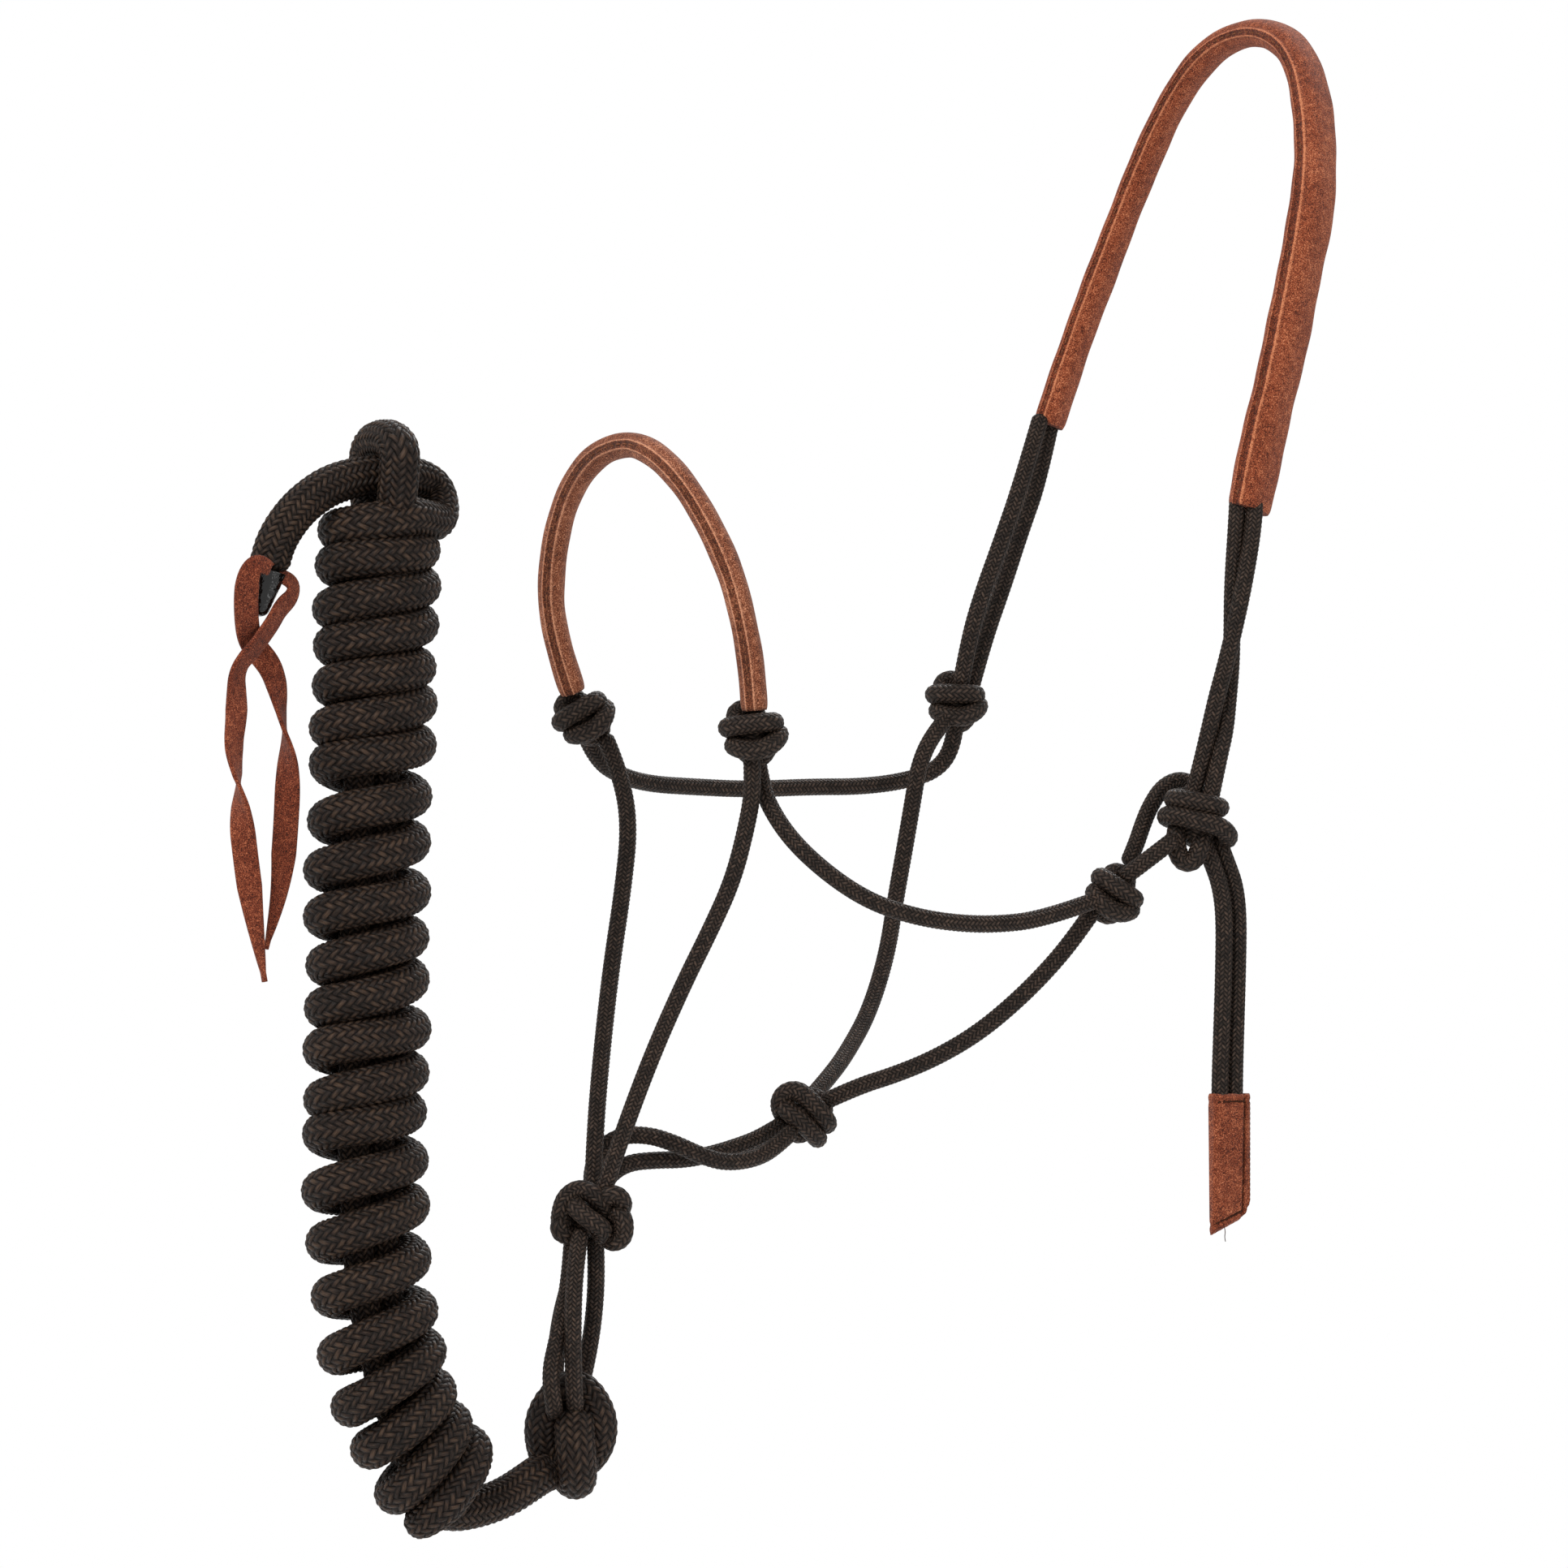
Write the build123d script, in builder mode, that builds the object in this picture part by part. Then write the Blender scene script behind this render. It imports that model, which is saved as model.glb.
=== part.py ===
"""Rope halter with its lead rope wound into a hank.

Frame, in millimetres: the origin is the underside of the crown sleeve at its highest point, where the
horse's poll sits. +Z is up, -X is towards the nose, -Y is the horse's near (left) side.
Sizes are those of a halter tied from 6 mm cord with a 14 mm lead rope.
"""

from build123d import *
import math
import os

os.makedirs("parts", exist_ok=True)

# Driving sizes
HALTER_ROPE = 6.0
LEAD_ROPE = 14.0
ARC_SHARE = 0.45  # how much of the shorter run each arc of a rope's route takes

POLL_SLEEVE_SIZE = (12.6, 9.0)  # fore and aft, then through the leather
POLL_ROPE_DIAMETER = 5.5  # the two crown ropes are squeezed a little inside the sleeve
POLL_ROPE_OFFSET = 2.8
POLL_BORE_SIZE = (11.4, 6.0)
NOSE_SLEEVE_SIZE = (9.6, 8.6)
NOSE_BORE_SIZE = (6.6, 6.4)
SEAM_FLANGE_SIZE = (2.2, 2.4)  # how far the sewn seam stands out, and its two thicknesses of leather

HANK_HALF_WIDTH = 23.5
HANK_HALF_DEPTH = 19.0

STRAP_WIDTH = 7.0
STRAP_THICKNESS = 1.8

TAB_CENTRE = Vector(-70, -87, 0)
TAB_TOP = -373.5
TAB_LONG_BOTTOM = -424.0
TAB_SHORT_BOTTOM = -417.0
TAB_WIDTH = 15.5
TAB_DEPTH = 8.0
TAB_POCKET_SIZE = (13.0, 6.2)
TAB_POCKET_LENGTH = 28.0

# Knots of the halter cord: centre, radius across the cords, height along them, and the cords' direction
KNOTS = {
    "near_nose_knot": ((-252, -57, -245), 11.0, 18.0, (0.1, 0, 1)),
    "far_nose_knot": ((-252, 57, -239), 10.5, 19.0, (-0.35, 0, 1)),
    "near_cheek_knot": ((-114, -78, -301), 10.0, 19.0, (0.8, 0, 1)),
    "far_cheek_knot": ((-81, 78, -233), 11.0, 20.0, (0.1, 0, 1)),
    "throat_knot": ((-195, 0, -381), 10.5, 20.0, (1, 0, 0.8)),
    "fiador_knot": ((-284, 0, -417), 13.5, 27.0, (0, 0, 1)),
    "tie_knot": ((-83, -84, -279), 13.0, 27.0, (0.1, 0, 1)),
}

# The halter cord between its knots. Each route is the points that the cord bends round.
HALTER_ROUTES = {
    "near_chin_strand": [
        (-253, -58, -250), (-252, -58, -264), (-253, -55, -278), (-255, -49, -297), (-259, -40, -315),
        (-264, -31, -333), (-269, -18, -358), (-276, -10, -385), (-280, -7, -408),
    ],
    "far_chin_strand": [
        (-245, 55, -245), (-239, 54, -258), (-237, 50, -277), (-245, 42, -302), (-256, 32, -329),
        (-268, 19, -360), (-278, 7, -387), (-282, 2, -408),
    ],
    "near_cheek_strand": [
        (-247, -51, -250), (-245, -51, -260), (-245, -56, -270), (-240, -64, -283), (-229, -71, -295),
        (-216, -76, -304), (-202, -79, -309), (-186, -81, -312), (-167, -82, -313), (-145, -82, -311),
        (-121, -80, -304),
    ],
    "far_cheek_strand": [
        (-249, 62, -244), (-242, 66, -254), (-229, 70, -260), (-214, 74, -263), (-194, 77, -264),
        (-168, 80, -265), (-140, 83, -264), (-117, 85, -264), (-99, 86, -261), (-86, 85, -256),
        (-81, 82, -248), (-82, 79, -240),
    ],
    "near_throat_strand": [
        (-119, -76, -306), (-125, -74, -315), (-133, -69, -327), (-143, -61, -340), (-153, -50, -352),
        (-163, -37, -361), (-172, -24, -367), (-180, -13, -371), (-189, -3, -377),
    ],
    "far_throat_strand": [
        (-86, 74, -238), (-93, 72, -245), (-99, 71, -256), (-105, 69, -270), (-111, 65, -287),
        (-118, 60, -305), (-128, 50, -325), (-143, 38, -345), (-159, 26, -358), (-174, 14, -367),
        (-190, 4, -376),
    ],
    "upper_fiador_strand": [
        (-200, 4, -384), (-209, 5, -389), (-218, 5, -392), (-229, 6, -395), (-241, 6, -397),
        (-252, 8, -397), (-261, 13, -398), (-268, 15, -403), (-273, 12, -410),
    ],
    "lower_fiador_strand": [
        (-201, -4, -386), (-210, -5, -393), (-220, -6, -397), (-232, -6, -398), (-242, -5, -395),
        (-250, -2, -391), (-257, 4, -388), (-264, 11, -388), (-270, 15, -392), (-275, 14, -400),
        (-278, 9, -407),
    ],
    "front_far_crown_strand": [
        (-48, 74, -133), (-55, 74, -154), (-63, 75, -175), (-71, 76, -195), (-77, 75, -211),
        (-80, 76, -228),
    ],
    "back_far_crown_strand": [
        (-39, 80, -133), (-42, 82, -152), (-49, 83, -170), (-57, 83, -191), (-66, 82, -211),
        (-73, 80, -229),
    ],
    "front_near_crown_strand": [
        (-59, -80, -163), (-64, -82, -180), (-68, -84, -196), (-69, -86, -209), (-67, -87, -222),
        (-69, -88, -238), (-73, -89, -253), (-78, -88, -270),
    ],
    "back_near_crown_strand": [
        (-51, -75, -163), (-54, -75, -182), (-59, -76, -199), (-65, -77, -215), (-69, -79, -230),
        (-73, -80, -245), (-78, -81, -258), (-83, -82, -270),
    ],
    "front_eye_strand": [
        (-112, -81, -297), (-104, -86, -290), (-93, -88, -282),
    ],
    "back_eye_strand": [
        (-105, -74, -292), (-100, -72, -285), (-96, -70, -278), (-92, -69, -271), (-86, -68, -264),
        (-79, -69, -261), (-75, -73, -264), (-76, -78, -271),
    ],
    "left_tail_strand": [
        (-79, -88, -296.5), (-77, -89, -308), (-74, -89, -322), (-73.5, -88, -345), (-73.5, -87, -368),
        (-73.3, -87, -390),
    ],
    "right_tail_strand": [
        (-69, -87, -296.5), (-65, -87, -306), (-63.5, -87, -320), (-65.5, -87, -342), (-66.9, -87, -366),
        (-66.7, -87, -390),
    ],
    "front_fiador_loop": [
        (-294, -6, -433), (-296, -9, -450), (-298, -11, -472), (-296, -9, -485), (-286, 8, -485),
        (-280, 11, -473), (-278, 8, -455), (-278, 4, -433),
    ],
    "rear_fiador_loop": [
        (-297, 2, -433), (-301, -2, -450), (-306, -8, -472), (-304, -8, -485), (-295, 7, -486),
        (-291, 13, -473), (-289, 14, -455), (-286, 9, -433),
    ],
}

POLL_ROUTE = [
    (-42, 77, -135), (-32, 75, -105), (-21, 72, -76), (-12, 62, -42), (-7, 46, -15), (-3, 25, 2),
    (-1, 0, 7), (-3, -25, 1), (-9, -46, -18), (-20, -64, -49), (-30, -72, -80), (-39, -75, -110),
    (-48, -76, -138), (-55, -77, -165),
]
NOSE_ROUTE = [
    (-251, -57, -237), (-252, -57, -223), (-255, -56, -207), (-260, -53, -190), (-265, -45, -172),
    (-268, -32, -157), (-270, -16, -148), (-270, 0, -144), (-270, 18, -149), (-269, 36, -163),
    (-267, 50, -185), (-264, 57, -209), (-256, 58, -230),
]

# The lead rope outside its hank
LEAD_KNOT = ((-293, 0, -494), 16.0, 45.0, (0, 0, 1))
HANK_ROUTE = [
    (-371, 0, -163), (-373, 0, -205), (-374, 0, -250), (-377, 0, -296), (-376, 0, -345),
    (-378, 0, -395), (-376, 0, -440), (-371, 0, -471), (-361, 0, -491), (-351, 0, -504), (-341, 0, -515),
]
LEAD_ROUTES = {
    "lead_link": [
        (-300, 0, -502), (-309, 0, -510), (-319, 0, -515.5), (-330, 0, -519), (-341, 0, -520.5),
        (-350, 0, -518),
    ],
    "hanging_loop": [
        (-371, -9, -170), (-372, -14.5, -157), (-371, -14.5, -139.5), (-368, 14.5, -139.5),
        (-367, 14.5, -157), (-369, 9, -170),
    ],
    "lead_tail": [
        (-350, 9, -178), (-347, 7, -166), (-350, 3, -157.5), (-362, 0, -154.5), (-383, 0, -153),
        (-397, 0, -155.5), (-408, 0, -162), (-415, 0, -172), (-419, 0, -181), (-421.5, 0, -190),
    ],
}
WHIPPING_LENGTH = 14.0
WHIPPING_RADII = (6.4, 4.4)

# The leather strap through the end of the lead rope
STRAP_HOLE = Vector(-420, 0, -187)
STRAP_LAYER = 1.6  # how far each half of the strap lies in front of or behind the other's middle
FRONT_STRAP_ROUTE = [
    (-411.8, -187), (-407.5, -190), (-408, -199), (-414, -208), (-423, -218), (-430, -230),
    (-432, -246), (-430, -264), (-428, -284), (-425, -308), (-418, -334),
]
BACK_STRAP_ROUTE = [
    (-430, -185), (-436, -188), (-437, -199), (-431, -211), (-420, -223), (-413, -238),
    (-410, -257), (-406, -279), (-408, -301), (-418, -322),
]


def smooth_path(name, points):
    """Straight runs joined by tangent arcs, each as large as its two runs allow."""
    corners = [Vector(*point) for point in points]
    radii = []
    for before, corner, after in zip(corners, corners[1:], corners[2:]):
        run_in = corner - before
        run_out = after - corner
        half_turn = math.radians(run_in.get_angle(run_out)) / 2
        radii.append(ARC_SHARE * min(run_in.length, run_out.length) / math.tan(half_turn))
    if radii:
        with BuildLine() as line:
            FilletPolyline(*corners, radius=radii)
    else:
        with BuildLine() as line:
            Polyline(*corners)
    path = line.wire()
    print(f"{name}: length {path.length:.1f}, radii", " ".join(f"{radius:.0f}" for radius in radii))
    return path


def finish(name, piece, expected_volume=None):
    """Labels a piece, writes it and says when its volume isn't section times length."""
    piece.part.label = name
    export_step(piece.part, f"parts/{name}.step")
    if expected_volume and abs(piece.part.volume / expected_volume - 1) > 0.02:
        print(f"  {name}: volume {piece.part.volume:.0f}, expected {expected_volume:.0f}")


def start_plane(path, across):
    """The plane square to a path at its start, with its own X as near as can be to `across`."""
    direction = path % 0
    sideways = across - direction * across.dot(direction)
    return Plane(origin=path @ 0, x_dir=sideways, z_dir=direction)


def rope(name, points, diameter):
    """One stretch of round rope along its route."""
    path = smooth_path(name, points)
    with BuildPart() as piece:
        with BuildSketch(Plane(origin=path @ 0, z_dir=path % 0)) as section:
            Circle(diameter / 2)
        sweep(path=path)
    finish(name, piece, section.sketch.area * path.length)


def knot(name, centre, radius, height, direction):
    """A tied knot, as the rounded drum that its turns of cord fill."""
    with BuildPart() as piece:
        with BuildSketch(Plane(origin=centre, z_dir=direction)):
            Circle(radius)
        extrude(amount=height / 2, both=True)
        fillet(piece.edges().filter_by(GeomType.CIRCLE), radius=min(radius, height / 2) * 0.7)
    finish(name, piece)


def sleeve(name, points, outer_size, bore_size):
    """A leather tube sewn shut along its front edge, where the two raw edges stand out as a flange."""
    path = smooth_path(name, points)
    width, thickness = outer_size
    flange_reach, flange_thickness = SEAM_FLANGE_SIZE
    with BuildPart() as piece:
        with BuildSketch(start_plane(path, Vector(-1, 0, 0))) as section:
            RectangleRounded(width, thickness, thickness * 0.4)
            with Locations((width / 2 + flange_reach / 2 - 1, 0)):
                Rectangle(flange_reach + 2, flange_thickness)
            RectangleRounded(*bore_size, bore_size[1] * 0.45, mode=Mode.SUBTRACT)
        sweep(path=path)
    finish(name, piece, section.sketch.area * path.length)


def sleeved_rope(name, points, diameter, offset):
    """The cord inside a sleeve, set off to one side of the sleeve's middle."""
    path = smooth_path(name, points)
    with BuildPart() as piece:
        with BuildSketch(start_plane(path, Vector(-1, 0, 0))) as section:
            with Locations((offset, 0)):
                Circle(diameter / 2)
        sweep(path=path)
    finish(name, piece, section.sketch.area * path.length)


def hank():
    """The outer shape of the lead rope's turns, an oval column that bends towards the halter at its foot."""
    path = smooth_path("hank", HANK_ROUTE)
    with BuildPart() as piece:
        with BuildSketch(start_plane(path, Vector(1, 0, 0))) as section:
            Ellipse(HANK_HALF_WIDTH, HANK_HALF_DEPTH)
        sweep(path=path)
    finish("hank", piece, section.sketch.area * path.length)


def whipping():
    """The bound and melted end of the lead rope, a short taper."""
    tip, end = (Vector(*point) for point in LEAD_ROUTES["lead_tail"][-2:])
    direction = (end - tip).normalized()
    big_radius, small_radius = WHIPPING_RADII
    with BuildPart() as piece:
        with BuildSketch(Plane(origin=end, z_dir=direction)):
            Circle(big_radius)
        with BuildSketch(Plane(origin=end + direction * WHIPPING_LENGTH, z_dir=direction)):
            Circle(small_radius)
        loft()
    finish("end_whipping", piece)


def strap_half(name, points, layer):
    """One half of the strap, from the rope's side to its pointed tail."""
    path = smooth_path(name, [(x, layer, z) for x, z in points])
    with BuildPart() as piece:
        with BuildSketch(start_plane(path, Vector(0, 1, 0))) as section:
            Rectangle(STRAP_THICKNESS, STRAP_WIDTH)
        sweep(path=path)
    finish(name, piece, section.sketch.area * path.length)


def strap_middle():
    """The middle of the strap, gripped inside the rope's end."""
    with BuildPart() as piece:
        with BuildSketch(Plane(origin=STRAP_HOLE, x_dir=(0, 1, 0), z_dir=(1, 0, 0))):
            Rectangle(STRAP_THICKNESS, STRAP_WIDTH)
        extrude(amount=LEAD_ROPE / 2 - 1, both=True)
    finish("strap_middle", piece)


def tail_tab():
    """The folded leather tab sewn over the ends of the crown cord, cut slanting across its foot."""
    left = TAB_CENTRE.X - TAB_WIDTH / 2
    right = TAB_CENTRE.X + TAB_WIDTH / 2
    pocket_width, pocket_depth = TAB_POCKET_SIZE
    with BuildPart() as piece:
        with BuildSketch(Plane.XZ.offset(-TAB_CENTRE.Y)):
            with BuildLine():
                Polyline(
                    (left, TAB_TOP), (right, TAB_TOP), (right, TAB_SHORT_BOTTOM), (left, TAB_LONG_BOTTOM),
                    close=True,
                )
            make_face()
        extrude(amount=TAB_DEPTH / 2, both=True)
        with BuildSketch(Plane.XY.offset(TAB_TOP)):
            with Locations((TAB_CENTRE.X, TAB_CENTRE.Y)):
                Rectangle(pocket_width, pocket_depth)
        extrude(amount=-TAB_POCKET_LENGTH, mode=Mode.SUBTRACT)
    finish("tail_tab", piece)


for knot_name, knot_facts in KNOTS.items():
    knot(knot_name, *knot_facts)
for strand_name, route in HALTER_ROUTES.items():
    rope(strand_name, route, HALTER_ROPE)

sleeve("poll_sleeve", POLL_ROUTE, POLL_SLEEVE_SIZE, POLL_BORE_SIZE)
sleeved_rope("front_poll_rope", POLL_ROUTE, POLL_ROPE_DIAMETER, POLL_ROPE_OFFSET)
sleeved_rope("back_poll_rope", POLL_ROUTE, POLL_ROPE_DIAMETER, -POLL_ROPE_OFFSET)
sleeve("nose_sleeve", NOSE_ROUTE, NOSE_SLEEVE_SIZE, NOSE_BORE_SIZE)
sleeved_rope("nose_rope", NOSE_ROUTE, HALTER_ROPE, 0)
tail_tab()

knot("lead_knot", *LEAD_KNOT)
hank()
for stretch_name, route in LEAD_ROUTES.items():
    rope(stretch_name, route, LEAD_ROPE)
whipping()
strap_middle()
strap_half("front_strap_half", FRONT_STRAP_ROUTE, -STRAP_LAYER)
strap_half("back_strap_half", BACK_STRAP_ROUTE, STRAP_LAYER)
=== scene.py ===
"""A rope halter with its lead rope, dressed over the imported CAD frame.

Routes and sizes are in millimetres in the row frame, as in the CAD source, and become metres when a piece
is made. Knots are drawn in a frame of their own: right, away and up, as the camera sees them. The camera,
the lights and the places where pieces bend are in metres.
"""

import math

import bpy
import numpy as np
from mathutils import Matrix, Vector


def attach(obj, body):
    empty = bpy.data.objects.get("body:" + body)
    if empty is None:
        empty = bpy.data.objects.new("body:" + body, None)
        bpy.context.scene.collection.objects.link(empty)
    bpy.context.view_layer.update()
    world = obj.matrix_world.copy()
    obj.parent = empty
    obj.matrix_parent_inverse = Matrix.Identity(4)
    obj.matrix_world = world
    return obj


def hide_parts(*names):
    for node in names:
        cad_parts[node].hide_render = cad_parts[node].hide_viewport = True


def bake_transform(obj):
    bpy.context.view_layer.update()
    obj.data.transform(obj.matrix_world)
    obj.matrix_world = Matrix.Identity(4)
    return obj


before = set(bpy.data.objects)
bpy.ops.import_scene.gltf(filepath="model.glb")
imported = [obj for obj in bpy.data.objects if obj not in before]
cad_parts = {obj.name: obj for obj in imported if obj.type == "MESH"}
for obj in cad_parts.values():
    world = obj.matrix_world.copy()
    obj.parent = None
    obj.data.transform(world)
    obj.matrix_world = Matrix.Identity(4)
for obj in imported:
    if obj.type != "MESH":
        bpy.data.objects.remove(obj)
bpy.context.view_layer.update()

MM = 0.001

HALTER_ROPE = 6.0
LEAD_ROPE = 14.0
SHORTEST_CORD = 36.0  # the length below which declare_halter_cord returns early

# A braid has this many strands each way. float is the millimetres along the rope from one strand to the next,
# and relief is a strand's height over a gap. The mesh has this many points around, and a ring at each step.
HALTER_BRAID = {"strands": 12, "float": 1.7, "relief": 0.42, "around": 48, "step": 0.5}
LEAD_BRAID = {"strands": 16, "float": 2.5, "relief": 0.8, "around": 80, "step": 0.65}

# ---------------------------------------------------------------- camera, floor and light

VIEW_AZIMUTH = math.radians(-32)
RIGHT = np.array([math.cos(VIEW_AZIMUTH), math.sin(VIEW_AZIMUTH), 0])
AWAY = np.array([-math.sin(VIEW_AZIMUTH), math.cos(VIEW_AZIMUTH), 0])
UP = np.array([0, 0, 1.0])
VIEW_CENTRE = np.array([-0.2031, 0, -0.2630])
VIEW_WIDTH = 0.5603
CAMERA_DISTANCE = 7.0
SENSOR = 36.0
FLOOR_HEIGHT = -0.575
FLOOR_RADIUS = 0.5
FLOOR_WHITE = (0.93, 0.93, 0.93, 1)


def add_camera():
    data = bpy.data.cameras.new("camera")
    data.sensor_width = SENSOR
    data.lens = SENSOR * CAMERA_DISTANCE / VIEW_WIDTH
    data.clip_end = 60
    camera = bpy.data.objects.new("camera", data)
    camera.location = VIEW_CENTRE - AWAY * CAMERA_DISTANCE
    camera.rotation_euler = (math.pi / 2, 0, VIEW_AZIMUTH)
    bpy.context.collection.objects.link(camera)
    bpy.context.scene.camera = camera


def add_area_light(name, right, towards, up, size, power):
    """A soft square light, placed in metres to the right of the view's middle, towards the camera and up."""
    data = bpy.data.lights.new(name, "AREA")
    data.size = size
    data.energy = power
    light = bpy.data.objects.new(name, data)
    offset = RIGHT * right - AWAY * towards + UP * up
    light.location = VIEW_CENTRE + offset
    light.rotation_euler = Vector(offset).to_track_quat("Z", "Y").to_euler()
    bpy.context.collection.objects.link(light)


def add_world(strength):
    bpy.context.scene.view_settings.view_transform = "Standard"
    world = bpy.data.worlds.new("studio")
    bpy.context.scene.world = world
    world.use_nodes = True
    background = world.node_tree.nodes["Background"]
    background.inputs["Color"].default_value = (1, 1, 1, 1)
    background.inputs["Strength"].default_value = strength


def add_floor():
    """A wide white disc under the halter."""
    material = bpy.data.materials.new("floor_white")
    material.use_nodes = True
    shader = material.node_tree.nodes["Principled BSDF"]
    shader.inputs["Base Color"].default_value = FLOOR_WHITE
    shader.inputs["Roughness"].default_value = 0.9
    place = (VIEW_CENTRE[0], 0, FLOOR_HEIGHT)
    bpy.ops.mesh.primitive_circle_add(vertices=96, radius=FLOOR_RADIUS, fill_type="NGON", location=place)
    floor = bpy.context.object
    floor.name = "floor"
    floor.data.materials.append(material)


add_camera()
add_world(1.0)
add_floor()
add_area_light("key", right=-1.2, towards=1.6, up=1.6, size=1.0, power=60)
add_area_light("fill", right=1.8, towards=1.4, up=0.2, size=1.4, power=16)
add_area_light("rim", right=0.6, towards=-1.6, up=1.4, size=1.0, power=30)

# ---------------------------------------------------------------- lines and frames


def follow(points):
    """The line of a NURBS spline with these control points, in millimetres."""
    data = bpy.data.curves.new("route", "CURVE")
    data.dimensions = "3D"
    data.resolution_u = 12
    spline = data.splines.new("NURBS")
    spline.points.add(len(points) - 1)
    for control, place in zip(spline.points, points):
        control.co = (*(value * MM for value in place), 1)
    spline.order_u = 3
    spline.use_endpoint_u = True
    curve = bpy.data.objects.new("route", data)
    mesh = bpy.data.meshes.new_from_object(curve)
    line = np.array([vertex.co for vertex in mesh.vertices]) / MM
    bpy.data.objects.remove(curve)
    bpy.data.meshes.remove(mesh)
    return line


def lengths_along(line):
    steps = np.linalg.norm(np.diff(line, axis=0), axis=1)
    return np.concatenate([[0], np.cumsum(steps)])


def even_steps(line, step):
    """The same line with points an even step apart."""
    along = lengths_along(line)
    count = max(3, round(along[-1] / step) + 1)
    wanted = np.linspace(0, along[-1], count)
    return np.stack([np.interp(wanted, along, line[:, axis]) for axis in range(3)], axis=1)


def unit(vectors):
    return vectors / np.linalg.norm(vectors, axis=-1, keepdims=True)


def tangents(line):
    return unit(np.gradient(line, axis=0))


def rolling_frame(line):
    """Two directions across the line at each point, which turn with it as little as they can."""
    along = tangents(line)
    start = UP if abs(along[0][2]) < 0.8 else RIGHT
    across = np.empty_like(line)
    current = start
    for index, direction in enumerate(along):
        current = current - direction * np.dot(current, direction)
        current = current / np.linalg.norm(current)
        across[index] = current
    return across, np.cross(along, across)


def facing_frame(line, towards):
    """Two directions across the line: one as near to towards as can be, and one square to it."""
    along = tangents(line)
    across = unit(towards - along * (along @ towards)[:, None])
    return across, np.cross(along, across)


def round_rings(line, radius, around):
    """Rings round a line, with a row of radii for each ring."""
    across, beside = rolling_frame(line)
    angle = np.arange(around) / around * 2 * math.pi
    outward = np.cos(angle)[None, :, None] * across[:, None, :]
    outward = outward + np.sin(angle)[None, :, None] * beside[:, None, :]
    return line[:, None, :] + radius[..., None] * outward


def squared_circle(angle, exponent):
    """The radius at each angle of a unit circle that a higher exponent squares off more."""
    return (np.abs(np.cos(angle)) ** exponent + np.abs(np.sin(angle)) ** exponent) ** (-1 / exponent)


# ---------------------------------------------------------------- meshes


def make_object(name, vertices, faces, uvs=None):
    """A smooth mesh from points in millimetres. uvs has one pair for each face corner."""
    mesh = bpy.data.meshes.new(name)
    mesh.from_pydata((np.asarray(vertices) * MM).tolist(), [], faces)
    if uvs is not None:
        layer = mesh.uv_layers.new(name="UVMap")
        layer.data.foreach_set("uv", np.asarray(uvs, dtype=np.float32).ravel())
    mesh.polygons.foreach_set("use_smooth", [True] * len(mesh.polygons))
    mesh.update()
    item = bpy.data.objects.new(name, mesh)
    bpy.context.collection.objects.link(item)
    return item


def ring_mesh(name, rings):
    """A tube through rings of points, closed at both ends. U goes once round, and V is the length along."""
    ring_count, around, _ = rings.shape
    along = lengths_along(rings.mean(axis=1))
    vertices = rings.reshape(-1, 3)
    row, column = np.meshgrid(np.arange(ring_count - 1), np.arange(around), indexing="ij")
    following = (column + 1) % around
    faces = np.stack(
        [
            row * around + column,
            row * around + following,
            (row + 1) * around + following,
            (row + 1) * around + column,
        ],
        axis=-1,
    ).reshape(-1, 4)
    u_left = column / around
    u_right = (column + 1) / around
    near, far = along[row], along[row + 1]
    uvs = np.stack(
        [
            np.stack([u_left, near], axis=-1),
            np.stack([u_right, near], axis=-1),
            np.stack([u_right, far], axis=-1),
            np.stack([u_left, far], axis=-1),
        ],
        axis=-2,
    ).reshape(-1, 2)
    faces = faces.tolist()
    first_cap = list(range(around))[::-1]
    last_cap = [(ring_count - 1) * around + index for index in range(around)]
    cap_uvs = [(0, along[0])] * around + [(0, along[-1])] * around
    return make_object(name, vertices, faces + [first_cap, last_cap], np.concatenate([uvs, cap_uvs]))


def join(name, items):
    """One object from several."""
    bpy.ops.object.select_all(action="DESELECT")
    for item in items:
        item.select_set(True)
    bpy.context.view_layer.objects.active = items[0]
    if len(items) > 1:
        bpy.ops.object.join()
    items[0].name = name
    return items[0]


def dress(item, material):
    item.data.materials.clear()
    item.data.materials.append(material)
    return item


# ---------------------------------------------------------------- braided rope

BRAID_MEAN_HEIGHT = 0.6  # the braid's height at which the rope has its nominal diameter


def braid_height(turn, along, braid):
    """Height of a 2-over-2 braid, from 0 in a gap to 1 on a strand. turn goes from 0 to 1 round the rope."""
    rising = braid["strands"] * turn + along / braid["float"]
    falling = braid["strands"] * turn - along / braid["float"]
    weave = np.mod(np.floor(rising) + np.floor(falling), 4)
    rising_on_top = weave < 2
    crossing = np.where(rising_on_top, rising, falling) % 1
    other = np.where(rising_on_top, falling, rising) % 1
    progress = np.where(rising_on_top, weave, weave - 2) + other
    round_across = np.sqrt(np.clip(1 - (2 * crossing - 1) ** 2, 0, 1))
    hump_along = 1 - 0.55 * (progress - 1) ** 2
    return round_across * hump_along


def tip_factor(along, total, radius, tip):
    """How much of its radius a rope keeps near its ends, which are rounded over tip radii."""
    from_end = np.minimum(along, total - along)
    share = np.clip(from_end / (radius * tip), 0.02, 1)
    return np.sqrt(1 - (1 - share) ** 2)


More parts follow.
